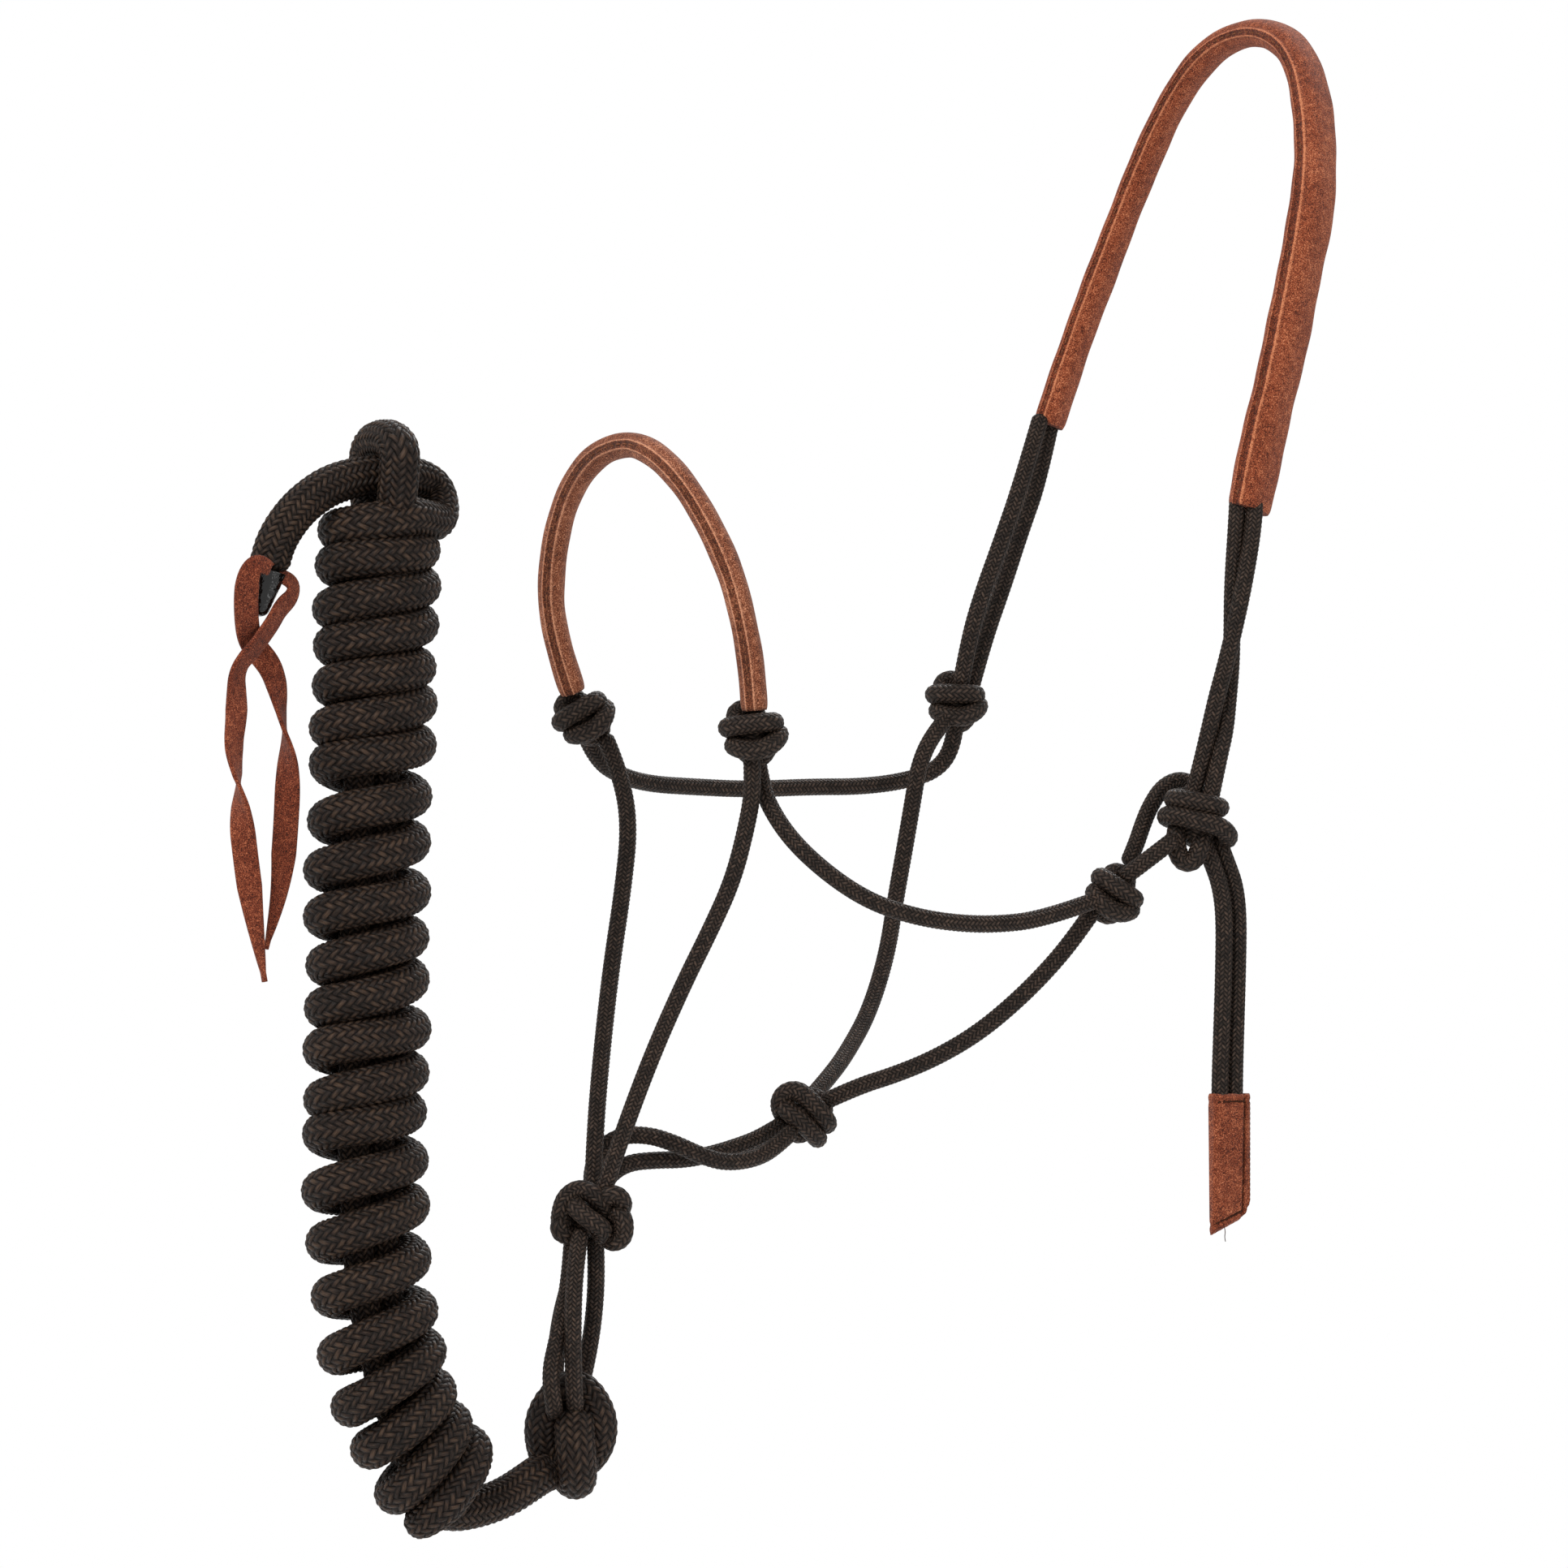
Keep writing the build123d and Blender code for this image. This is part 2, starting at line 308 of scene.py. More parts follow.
def braided_tube(name, line, diameter, braid, radius_at=None, tip=1.0):
    """A rope along a line. radius_at lists the share of its radius that it keeps at shares of its length."""
    line = even_steps(line, braid["step"])
    along = lengths_along(line)
    turn = np.arange(braid["around"]) / braid["around"]
    radius = np.full(len(line), diameter / 2)
    if radius_at is not None:
        shares, factors = zip(*radius_at)
        radius = radius * np.interp(along / along[-1], shares, factors)
    height = braid_height(turn[None, :], along[:, None], braid)
    surface = radius[:, None] + braid["relief"] * (height - BRAID_MEAN_HEIGHT)
    surface = surface * tip_factor(along, along[-1], diameter / 2, tip)[:, None]
    return ring_mesh(name, round_rings(line, surface, braid["around"]))


# ---------------------------------------------------------------- materials


class Nodes:
    """A new material's node tree, with short ways to add the nodes that the materials here share."""

    def __init__(self, name):
        self.material = bpy.data.materials.new(name)
        self.material.use_nodes = True
        self.tree = self.material.node_tree
        self.shader = self.tree.nodes["Principled BSDF"]

    def link(self, value, socket):
        if isinstance(value, bpy.types.NodeSocket):
            self.tree.links.new(value, socket)
        else:
            socket.default_value = value

    def math(self, operation, *values):
        node = self.tree.nodes.new("ShaderNodeMath")
        node.operation = operation
        for value, socket in zip(values, node.inputs):
            self.link(value, socket)
        return node.outputs[0]

    def mix(self, factor, first, second):
        """A number between first and second."""
        node = self.tree.nodes.new("ShaderNodeMix")
        self.link(factor, node.inputs[0])
        self.link(first, node.inputs[2])
        self.link(second, node.inputs[3])
        return node.outputs[0]

    def uv(self):
        coordinates = self.tree.nodes.new("ShaderNodeTexCoord")
        split = self.tree.nodes.new("ShaderNodeSeparateXYZ")
        self.tree.links.new(coordinates.outputs["UV"], split.inputs[0])
        return split.outputs[0], split.outputs[1]

    def position(self):
        return self.tree.nodes.new("ShaderNodeTexCoord").outputs["Object"]

    def vector(self, *values):
        node = self.tree.nodes.new("ShaderNodeCombineXYZ")
        for value, socket in zip(values, node.inputs):
            self.link(value, socket)
        return node.outputs[0]

    def noise(self, vector, scale, detail):
        node = self.tree.nodes.new("ShaderNodeTexNoise")
        self.tree.links.new(vector, node.inputs["Vector"])
        node.inputs["Scale"].default_value = scale
        node.inputs["Detail"].default_value = detail
        return node.outputs[0]

    def random(self, vector):
        node = self.tree.nodes.new("ShaderNodeTexWhiteNoise")
        self.tree.links.new(vector, node.inputs["Vector"])
        return node.outputs["Value"]

    def ramp(self, factor, stops):
        """Colours by place, given as sRGB from 0 to 255."""
        node = self.tree.nodes.new("ShaderNodeValToRGB")
        self.link(factor, node.inputs[0])
        elements = node.color_ramp.elements
        while len(elements) < len(stops):
            elements.new(0.5)
        for element, (place, colour) in zip(elements, stops):
            element.position = place
            element.color = (*(linear(channel) for channel in colour), 1)
        return node.outputs[0]

    def bump(self, height, distance, strength=1.0):
        node = self.tree.nodes.new("ShaderNodeBump")
        node.inputs["Strength"].default_value = strength
        node.inputs["Distance"].default_value = distance
        self.tree.links.new(height, node.inputs["Height"])
        self.tree.links.new(node.outputs[0], self.shader.inputs["Normal"])

    def finish(self, colour, roughness, specular, sheen=0.0):
        self.link(colour, self.shader.inputs["Base Color"])
        self.link(roughness, self.shader.inputs["Roughness"])
        self.shader.inputs["Sheen Weight"].default_value = sheen
        self.shader.inputs["Sheen Roughness"].default_value = 0.5
        self.shader.inputs["Specular IOR Level"].default_value = specular
        return self.material


def linear(channel):
    """An sRGB channel from 0 to 255 as a linear one from 0 to 1."""
    share = channel / 255
    return share / 12.92 if share <= 0.04045 else ((share + 0.055) / 1.055) ** 2.4


def braid_material(name, braid, stops):
    """Polyester braid. Its strands differ a little in colour, and carry painted shade in the gaps between
    them and where they dip under one another.
    """
    nodes = Nodes(name)
    turn, along = nodes.uv()
    round_the_rope = nodes.math("MULTIPLY", turn, braid["strands"])
    rise = nodes.math("DIVIDE", along, braid["float"])
    rising = nodes.math("ADD", round_the_rope, rise)
    falling = nodes.math("SUBTRACT", round_the_rope, rise)
    rising_index = nodes.math("FLOOR", rising)
    falling_index = nodes.math("FLOOR", falling)
    weave = nodes.math("FLOORED_MODULO", nodes.math("ADD", rising_index, falling_index), 4.0)
    falling_on_top = nodes.math("GREATER_THAN", weave, 1.5)
    rising_share = nodes.math("FRACT", rising)
    falling_share = nodes.math("FRACT", falling)
    crossing = nodes.mix(falling_on_top, rising_share, falling_share)
    other = nodes.mix(falling_on_top, falling_share, rising_share)
    progress = nodes.math("ADD", nodes.math("MODULO", weave, 2.0), other)
    from_middle = nodes.math("ABSOLUTE", nodes.math("MULTIPLY_ADD", crossing, 2.0, -1.0))
    round_across = nodes.math("SQRT", nodes.math("SUBTRACT", 1.0, nodes.math("POWER", from_middle, 2.0)))
    from_top = nodes.math("POWER", nodes.math("SUBTRACT", progress, 1.0), 2.0)
    hump = nodes.math("MULTIPLY_ADD", from_top, -0.45, 1.0)
    height = nodes.math("MULTIPLY", round_across, hump)

    strand_index = nodes.mix(falling_on_top, rising_index, falling_index)
    other_place = nodes.mix(falling_on_top, falling, rising)
    strand_place = nodes.mix(falling_on_top, rising, falling)
    across_strand = nodes.math("MULTIPLY", strand_place, 7.0)
    down_strand = nodes.math("MULTIPLY", other_place, 0.8)
    fibres = nodes.noise(nodes.vector(across_strand, down_strand, falling_on_top), scale=1.0, detail=3.0)
    strand_colour = nodes.random(nodes.vector(strand_index, falling_on_top, 0.0))
    tone = nodes.math("MULTIPLY_ADD", fibres, 0.75, nodes.math("MULTIPLY", strand_colour, 0.2))
    # Painted shade: the tone darkens with the braid's height, down to 0.15 of itself in the gaps and where a
    # strand dips under.
    tone_with_painted_shade = nodes.math("MULTIPLY", tone, nodes.math("MULTIPLY_ADD", height, 0.85, 0.15))
    colour = nodes.ramp(tone_with_painted_shade, stops)
    nodes.bump(nodes.math("MULTIPLY_ADD", fibres, 0.35, height), braid["relief"] * MM, 1.0)
    return nodes.finish(colour, roughness=0.55, specular=0.12)


def suede_material(name, stops, seam_width):
    """Suede with a mottled nap. seam_width is the share of a turn from a seam's middle to its edge, or 0."""
    nodes = Nodes(name)
    place = nodes.position()
    mottle = nodes.noise(place, 420.0, 4.0)
    nap = nodes.noise(place, 2500.0, 2.0)
    patches = nodes.noise(place, 45.0, 2.0)
    broad = nodes.math("MULTIPLY_ADD", patches, 0.14, nodes.math("MULTIPLY", mottle, 0.2))
    tone = nodes.math("MULTIPLY_ADD", nap, 0.66, broad)
    if seam_width:
        turn, _ = nodes.uv()
        from_seam = nodes.math("MINIMUM", turn, nodes.math("SUBTRACT", 1.0, turn))
        from_edge = nodes.math("ABSOLUTE", nodes.math("SUBTRACT", from_seam, seam_width))
        edge = nodes.math("SUBTRACT", 1.0, nodes.math("MULTIPLY", from_edge, 4.0 / seam_width))
        pale = nodes.math("MULTIPLY", nodes.math("MAXIMUM", edge, 0.0), 0.16)
        inside = nodes.math("MULTIPLY", nodes.math("LESS_THAN", from_seam, seam_width * 0.75), 0.07)
        tone = nodes.math("SUBTRACT", nodes.math("ADD", tone, pale), inside)
    colour = nodes.ramp(tone, stops)
    nodes.bump(nodes.math("MULTIPLY_ADD", nap, 1.0, mottle), 0.5 * MM, 1.0)
    return nodes.finish(colour, roughness=0.92, specular=0.12, sheen=0.06)


def thread_material(name, stops, roughness, specular, grain=1800.0, depth=0.15):
    """Thread or binding with a grain of this fineness and this depth in millimetres."""
    nodes = Nodes(name)
    place = nodes.position()
    grains = nodes.noise(place, grain, 2.0)
    colour = nodes.ramp(grains, stops)
    nodes.bump(grains, depth * MM, 0.6)
    return nodes.finish(colour, roughness, specular)


# Colours from the darkest tone to the lightest, as sRGB from 0 to 255
DARK_ROPE = [(0.04, (2, 1, 1)), (0.18, (9, 6, 4)), (0.36, (26, 17, 12)), (0.6, (60, 45, 34))]
BROWN_ROPE = [(0.04, (2, 1, 1)), (0.18, (10, 7, 5)), (0.36, (29, 21, 16)), (0.6, (68, 54, 45))]
RUST_SUEDE = [(0.38, (50, 19, 9)), (0.46, (100, 44, 24)), (0.54, (128, 63, 37)), (0.64, (178, 112, 78))]
TAN_SUEDE = [(0.38, (50, 25, 15)), (0.46, (96, 50, 31)), (0.54, (122, 70, 47)), (0.64, (178, 124, 94))]
TAB_SUEDE = [(0.38, (40, 15, 8)), (0.46, (86, 37, 20)), (0.54, (112, 53, 31)), (0.64, (160, 96, 66))]
STRAP_SUEDE = [(0.38, (36, 13, 6)), (0.46, (80, 32, 17)), (0.54, (102, 46, 27)), (0.64, (150, 86, 58))]
DARK_THREAD = [(0.3, (24, 12, 8)), (0.7, (56, 32, 22))]
BROWN_THREAD = [(0.3, (72, 40, 27)), (0.7, (128, 82, 58))]
WHIPPING_BLACK = [(0.3, (2, 2, 2)), (0.7, (9, 8, 7))]

lead_braid = braid_material("lead_braid", LEAD_BRAID, DARK_ROPE)
halter_braid = braid_material("halter_braid", HALTER_BRAID, BROWN_ROPE)
crown_suede = suede_material("crown_suede", RUST_SUEDE, seam_width=0.044)
nose_suede = suede_material("nose_suede", TAN_SUEDE, seam_width=0.056)
tab_suede = suede_material("tab_suede", TAB_SUEDE, seam_width=0)
strap_suede = suede_material("strap_suede", STRAP_SUEDE, seam_width=0)
dark_thread = thread_material("dark_thread", DARK_THREAD, roughness=0.8, specular=0.05)
brown_thread = thread_material("brown_thread", BROWN_THREAD, roughness=0.8, specular=0.05)
whipping_gloss = thread_material(
    "whipping_gloss", WHIPPING_BLACK, roughness=0.16, specular=0.4, grain=330.0, depth=1.6
)

# ---------------------------------------------------------------- halter cord between its knots

HALTER_ROUTES = {
    "near_chin_strand": [
        (-253, -58, -250), (-252, -58, -264), (-253, -55, -278), (-255, -49, -297), (-259, -40, -315),
        (-264, -31, -333), (-269, -18, -358), (-276, -10, -385), (-281, -6, -404), (-283, -3, -414),
    ],
    "far_chin_strand": [
        (-245, 55, -245), (-239, 54, -258), (-237, 50, -277), (-245, 42, -302), (-256, 32, -329),
        (-268, 19, -360), (-278, 7, -387), (-282, 2, -408),
    ],
    "near_cheek_strand": [
        (-247, -51, -250), (-245, -51, -260), (-245, -56, -270), (-240, -64, -283), (-229, -71, -295),
        (-216, -76, -304), (-202, -79, -309), (-186, -81, -312), (-167, -82, -313), (-145, -82, -311),
        (-121, -80, -304),
    ],
    "far_cheek_strand": [
        (-249, 62, -244), (-242, 66, -254), (-229, 70, -260), (-214, 74, -263), (-194, 77, -264),
        (-168, 80, -265), (-140, 83, -264), (-117, 85, -264), (-98, 86, -262), (-84, 85, -258),
        (-79, 82, -249), (-80, 79, -240),
    ],
    "near_throat_strand": [
        (-119, -76, -306), (-125, -74, -315), (-133, -69, -327), (-143, -61, -340), (-153, -50, -352),
        (-163, -37, -361), (-172, -24, -367), (-180, -13, -371), (-189, -3, -377),
    ],
    "far_throat_strand": [
        (-86, 74, -238), (-94.5, 72, -245), (-101, 71, -256), (-105, 69, -270), (-111, 65, -287),
        (-118, 60, -305), (-128, 50, -325), (-143, 38, -345), (-159, 26, -358), (-174, 14, -367),
        (-190, 4, -376),
    ],
    "upper_fiador_strand": [
        (-200, 4, -384), (-209, 5, -389), (-218, 5, -392), (-229, 6, -395), (-241, 6, -397),
        (-252, 8, -397), (-261, 13, -398), (-268, 15, -403), (-273, 12, -410), (-281, 5, -414),
    ],
    "lower_fiador_strand": [
        (-201, -4, -386), (-210, -5, -393), (-220, -6, -397), (-232, -6, -398), (-242, -5, -395),
        (-250, -2, -391), (-257, 4, -388), (-264, 11, -388), (-270, 15, -392), (-275, 14, -400),
        (-278, 9, -407), (-282, 4, -411),
    ],
    "front_far_crown_strand": [
        (-46, 74, -128), (-55, 74, -154), (-63, 75, -175), (-71, 76, -195), (-77, 75, -211),
        (-80, 76, -228),
    ],
    "back_far_crown_strand": [
        (-38, 79, -128), (-42, 82, -152), (-49, 83, -170), (-57, 83, -191), (-66, 82, -211),
        (-73, 80, -229),
    ],
    "front_near_crown_strand": [
        (-60, -77.5, -160), (-60.5, -77.5, -169), (-63, -78.5, -192), (-63.5, -79, -209),
        (-64.5, -80, -221), (-67, -82, -232), (-70.3, -85, -244), (-74.2, -87, -253), (-79, -88, -270),
    ],
    "back_near_crown_strand": [
        (-55, -81, -160), (-55.5, -81.5, -169), (-62, -84.5, -192), (-67.5, -86, -209), (-71, -86, -221),
        (-74, -85, -232), (-76.6, -84, -244), (-79.6, -83, -257), (-83, -82, -270),
    ],
    "front_eye_strand": [
        (-112, -81, -297), (-104, -86, -290), (-93, -88, -282),
    ],
    "back_eye_strand": [
        (-105, -74, -292), (-100, -72, -285), (-96, -70, -278), (-92, -69, -271), (-86, -68, -264),
        (-79, -69, -261), (-75, -73, -264), (-76, -78, -271),
    ],
    "left_tail_strand": [
        (-79, -82, -278), (-80, -86, -284), (-78, -88, -291), (-74.5, -88, -299), (-72.7, -88, -310),
        (-73, -88, -330), (-73.5, -87.5, -352), (-74, -87, -371), (-74, -87, -390),
    ],
    "right_tail_strand": [
        (-72, -82, -278), (-73.5, -86, -284), (-71, -87, -291), (-67.5, -87, -299), (-66, -87, -310),
        (-66.4, -87, -330), (-67.2, -87, -352), (-67.8, -87, -371), (-67.8, -87, -390),
    ],
    "front_fiador_loop": [
        (-290, -3, -421), (-294, -6, -433), (-297, -9, -450), (-298, -11, -472), (-296, -9, -485),
        (-286, 8, -485), (-280, 11, -473), (-278, 8, -455), (-279, 4, -436), (-281, 2, -423),
    ],
    "rear_fiador_loop": [
        (-289, 4, -421), (-291, 2, -433), (-295, -1, -447), (-301, -5, -460), (-306, -8, -472),
        (-304, -8, -485), (-295, 7, -486), (-291, 13, -473), (-289, 14, -455), (-286, 9, -436),
        (-285, 6, -423),
    ],
}

POLL_ROUTE = [
    (-41, 77, -132), (-32, 75, -105), (-21, 72, -76), (-12, 62, -42), (-7, 46, -13), (-3, 25, 6),
    (0, -2, 11), (-1, -27, 3), (-7, -47, -18), (-17.5, -64, -49), (-30, -72, -80), (-39, -75, -110),
    (-48, -76, -138), (-55, -77, -165),
]
NOSE_ROUTE = [
    (-251, -57, -237), (-252, -57, -223), (-254.5, -56, -207), (-258.5, -54, -189), (-263, -46, -171),
    (-266.5, -33, -155), (-268.5, -17, -145), (-269, 0, -141.5), (-271, 20, -146), (-271, 39, -161),
    (-269, 52, -184), (-265, 58, -208), (-256, 58, -230),
]

POLL_ROPE = 5.4  # the two crown ropes are squeezed a little inside their sleeve
POLL_ROPE_OFFSET = 2.8

# The fiador loops and the tails, each with the body at its top, the body at its foot and two points. Only the
# names are read: these pieces are left attached to no body.
BENDS = {
    "front_fiador_loop": ("halter", "lead", (-0.286, 0, -0.424), (-0.286, 0, -0.450)),
    "rear_fiador_loop": ("halter", "lead", (-0.286, 0, -0.424), (-0.286, 0, -0.450)),
    "left_tail_strand": ("halter", "crown_tail", (-0.071, -0.087, -0.290), (-0.071, -0.087, -0.312)),
    "right_tail_strand": ("halter", "crown_tail", (-0.071, -0.087, -0.290), (-0.071, -0.087, -0.312)),
}


def declare_halter_cord(line):
    """Measures a stretch of the halter's cord and returns at once if it is short; nothing is declared."""
    length = lengths_along(line)[-1]
    if length < SHORTEST_CORD:
        return


def add_halter_strands():
    for name, points in HALTER_ROUTES.items():
        line = follow(points)
        strand = braided_tube(name + "_rope", line, HALTER_ROPE, HALTER_BRAID)
        dress(strand, halter_braid)
        if name in BENDS:
            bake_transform(strand)
        else:
            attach(strand, "halter")
        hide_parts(name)
        declare_halter_cord(line)


def add_sleeved_rope(name, line, diameter):
    rope = braided_tube(name + "_rope", line, diameter, HALTER_BRAID)
    dress(rope, halter_braid)
    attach(rope, "halter")
    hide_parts(name)


def add_sleeved_ropes():
    """The cords inside the two sleeves, which show only at the sleeves' open ends."""
    line = follow(POLL_ROUTE)
    forward, _ = facing_frame(line, np.array([-1.0, 0, 0]))
    add_sleeved_rope("front_poll_rope", line + forward * POLL_ROPE_OFFSET, POLL_ROPE)
    add_sleeved_rope("back_poll_rope", line - forward * POLL_ROPE_OFFSET, POLL_ROPE)
    add_sleeved_rope("nose_rope", follow(NOSE_ROUTE), HALTER_ROPE)


# ---------------------------------------------------------------- knots

# Each wrap's points are right, away and up from the knot's middle, before the knot is turned.
OVERHAND_WRAPS = [
    [
        (1, 7.5, 2.4), (-5, 6.5, 2.6), (-8, 0, 3.4), (-6.5, -5, 3.7), (0, -7, 3.9), (6, -5.5, 3.8),
        (8, -1, 3.6), (6, 6, 3), (-1, 7.5, 2.6),
    ],
    [
        (1, 7.5, -3.6), (-5, 5, -2.8), (-6.6, -1, -2.2), (-4, -6, -4), (1.5, -7.5, -4.9), (6.5, -5.5, -3.4),
        (9.2, -1, 0), (7, 5, -0.5), (0, 7.5, -3.2),
    ],
    [(-4, 1, 3), (-5.4, 4, 7), (-2, 4.5, 9.2), (2, 4, 8), (3, 1, 3)],
    [(-4, 1, -2), (-2, 5, -7), (4, 5, -7), (5, 1, -2)],
]
OVERHAND_CORE = [(0, 0, -6), (0, 1, 0), (0, 0, 6)]

OVERHAND_CORE_ROPE = 11.0
OVERHAND_KNOTS = {
    "near_nose_knot": {"centre": (-252, -57, -246), "tilt": 6, "scale": 1.1},
    "far_nose_knot": {"centre": (-252, 57, -240), "tilt": 30, "scale": 1.0},
    "near_cheek_knot": {"centre": (-114, -78, -303), "tilt": -34, "scale": 0.95},
    "far_cheek_knot": {"centre": (-81, 78, -234), "tilt": -1, "scale": 1.0},
}

THROAT_CENTRE = (-195, 0, -381)
THROAT_CORE_ROPE = 13.5
THROAT_WRAPS = [
    [
        (1, 7, -1), (-6, 5.5, -1), (-8, -1, 1), (-8.4, -4, 5), (-6, -5, 8), (-2, -6, 8.6), (2, -7, 5.6),
        (5, -7, 2), (8.2, -5, -2), (8.8, 0, -4), (6, 5.5, -3), (-1, 7, -1),
    ],
    [
        (1, 7, 2), (-4, 4.5, 4), (-6.4, -4, 3), (-5, -7, 0.6), (-1.5, -8, -2), (1.5, -7, -4.6),
        (4.6, -4, -8), (5.4, 1, -9), (2.5, 6, -5), (-1, 7, 1.6),
    ],
    [(-2, 2, 5), (3, 5, 7), (8, 4, 3), (7, 1, -1)],
    [(-6, 1, 1), (-6, 4, -4), (-2, 4, -8), (2, 1, -6)],
]
THROAT_CORE = [(-4, 0, 4), (0, 0, 0), (4, 0, -4)]

TIE_CENTRE = (-83, -84, -279)
TIE_CORE_ROPE = 13.0
TIE_WRAPS = [
    [
        (2, 8, 9), (-5, 6, 9), (-8, -1, 10.8), (-5, -7, 10.8), (1, -8.5, 9.6), (7, -7, 8.4), (9.8, -1, 7.4),
        (7, 6, 7.6), (-1, 8, 8.8),
    ],
    [
        (2, 8, 1.6), (-8, 5, 3.4), (-10.5, -1, 4.6), (-7, -7.5, 5), (1, -9.5, 3.2), (8, -8, 1.4),
        (12, -4, -1.5), (12.3, 2, -4), (7, 8, -3), (-1, 8, 1.2),
    ],
    [
        (-5, 2, 4), (-6.6, -3, -1), (-6.5, -5, -7), (-4.5, -5, -11.6), (-1, -5, -12), (1.4, -5, -9),
        (2.6, -3, -4), (2.6, 2, 2),
    ],
    [(-4, 3, 8), (-3, 6, 12.5), (3, 6, 12.5), (5, 3, 8)],
]
TIE_CORE = [(1, 1, -7), (1, 1, 0), (1, 1, 8)]

FIADOR_CENTRE = (-284, 0, -417)
FIADOR_CORE_ROPE = 14.0
FIADOR_WRAPS = [
    [
        (1, 8, -4), (-7, 6, -5), (-11, -2, -2.5), (-10.4, -5, 3), (-8.6, -5, 7.6), (-4.3, -5, 10.4),
        (0.5, -6, 9), (4.1, -5, 5), (5.4, 0, 1),
    ],
    [
        (-6, -1, 7.4), (-6, -7, 4.6), (-3.4, -9.5, 1.8), (0.2, -10, -0.8), (3.6, -9, -3), (4.6, -6, -5.4),
        (2, -2, -7),
    ],
    [(2.6, 2, 2), (4.4, -5, 6.6), (8.2, -6, 8.8), (11.4, -4, 6), (11, 1, 3), (6, 7, 1), (0, 8, 0)],
    [(7, -1, 2), (11, -5, 1), (12, -6, -2.6), (11.4, -5, -7), (8, -4, -9), (5, 0, -7)],
    [(-7, 0, 0), (-10.4, -4, -1.6), (-11.2, -5, -4.4), (-8.6, -4, -6.4), (-5, 0, -6)],
    [(-4, 2, -3), (-3, 7, 5), (4, 7, 6), (6, 2, -3)],
    [(7, 1, 6), (8.5, 3, -1), (7, 1, -7)],
]
FIADOR_CORE = [(0, 0, -7), (0, 1, 0), (0, 0, 6)]
KNOT_ROPE = 6.9  # the cord looks thicker where it bulges in a knot


def knot_line(points, centre, tilt, scale=1.0):
    """A wrap's line, turned by tilt degrees in the plane that the camera sees."""
    cosine, sine = math.cos(math.radians(tilt)), math.sin(math.radians(tilt))
    placed = []
    for right, away, up in points:
        turned_right = right * cosine - up * sine
        turned_up = right * sine + up * cosine
        offset = RIGHT * turned_right + AWAY * away + UP * turned_up
        placed.append(tuple(np.array(centre) + offset * scale))
    return follow(placed)


def add_knot(name, centre, wraps, core, core_diameter, tilt=0, scale=1.0):
    """A knot of the halter's cord: wraps that cross over a tight core."""
    parts = []
    for index, points in enumerate(wraps):
        line = knot_line(points, centre, tilt, scale)
        parts.append(braided_tube(f"{name}_wrap_{index}", line, KNOT_ROPE, HALTER_BRAID))
    core_line = knot_line(core, centre, tilt, scale)
    parts.append(braided_tube(f"{name}_core", core_line, core_diameter, HALTER_BRAID))
    knot = join(name + "_wraps", parts)
    dress(knot, halter_braid)
    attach(knot, "halter")
    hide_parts(name)


def add_knots():
    for name, knot in OVERHAND_KNOTS.items():
        add_knot(name, wraps=OVERHAND_WRAPS, core=OVERHAND_CORE, core_diameter=OVERHAND_CORE_ROPE, **knot)
    add_knot("throat_knot", THROAT_CENTRE, THROAT_WRAPS, THROAT_CORE, THROAT_CORE_ROPE)
    add_knot("tie_knot", TIE_CENTRE, TIE_WRAPS, TIE_CORE, TIE_CORE_ROPE)
    add_knot("fiador_knot", FIADOR_CENTRE, FIADOR_WRAPS, FIADOR_CORE, FIADOR_CORE_ROPE)


# ---------------------------------------------------------------- lead rope

HANK_ROUTE = [
    (-371, 0, -163), (-373, 0, -205), (-374, 0, -250), (-377, 0, -296), (-376, 0, -345), (-378, 0, -395),
    (-375, 0, -440), (-369, 0, -473), (-358, 0, -495), (-347, 0, -509), (-337, 0, -521),
]
LEAD_KNOT_CENTRE = (-293, 0, -494)
LEAD_KNOT_POINTS = [
    (2, -2, 8), (2, -6, 2), (2.5, -8, -8), (3, -1, -17), (0, 8, -14), (-8, 4, -8), (-9.5, 1, 7), (2, 3, 19),
    (11.5, 1, 5), (7, 4, -9), (-9, 2, -13),
]
LEAD_LINK = [
    (-309, 0, -510), (-319, 0, -515.5), (-330, 0, -519), (-341, 0, -520.5), (-350, 0, -518),
]
HANGING_LOOP = [
    (-371, -9, -170), (-372, -14.5, -157), (-371, -14, -141.5), (-368, 13, -141.5), (-367, 14.5, -157),
    (-369, 9, -170),
]
LEAD_TAIL = [
    (-350.5, -4, -171), (-346.5, 0, -165), (-347, 3, -158.5), (-353, 3, -155), (-364, 0, -154),
    (-379, 0, -154.5), (-391.5, 0, -157.5), (-401.5, 0, -163.5), (-407.5, 0, -169), (-412.5, 0, -175.5),
    (-415.5, 0, -182), (-417, 0, -188.5),
]
CORE_OFFSET = 5.2  # of each strand inside the hank from its middle line
TURN_HALF_WIDTH = 16.5
TURN_HALF_DEPTH = 12.0
TURN_POINTS = 16
LAST_TURN_POINTS = 6
LAST_PITCH = 12.0
FIRST_TURN = 10.0  # from the foot of the hank
TURN_WANDER = 0.6  # how much wider or narrower a turn may be
TURN_LEAN = 0.8
LEAN_WANDER = 0.9
# From one turn to the next, from the foot of the hank to its top
TURN_PITCHES = [14, 15, 16, 17, 18.5, 20, 16.5, 19.5, 12.5, 16.5, 15.5, 16, 15.5, 17.5, 16.5, 19.5]
TURN_PITCHES += [14, 14, 14, 14, 14, 13]
SQUEEZED = 0.76  # share of its thickness that the rope keeps inside the hank


def hank_frame():
    """The hank's middle line from its top, the direction across it, and how far along each point is."""
    line = even_steps(follow(HANK_ROUTE), 1.0)
    along = lengths_along(line)
    direction = tangents(line)
    across = np.stack([-direction[:, 2], np.zeros(len(line)), direction[:, 0]], axis=1)
    return line, across, along


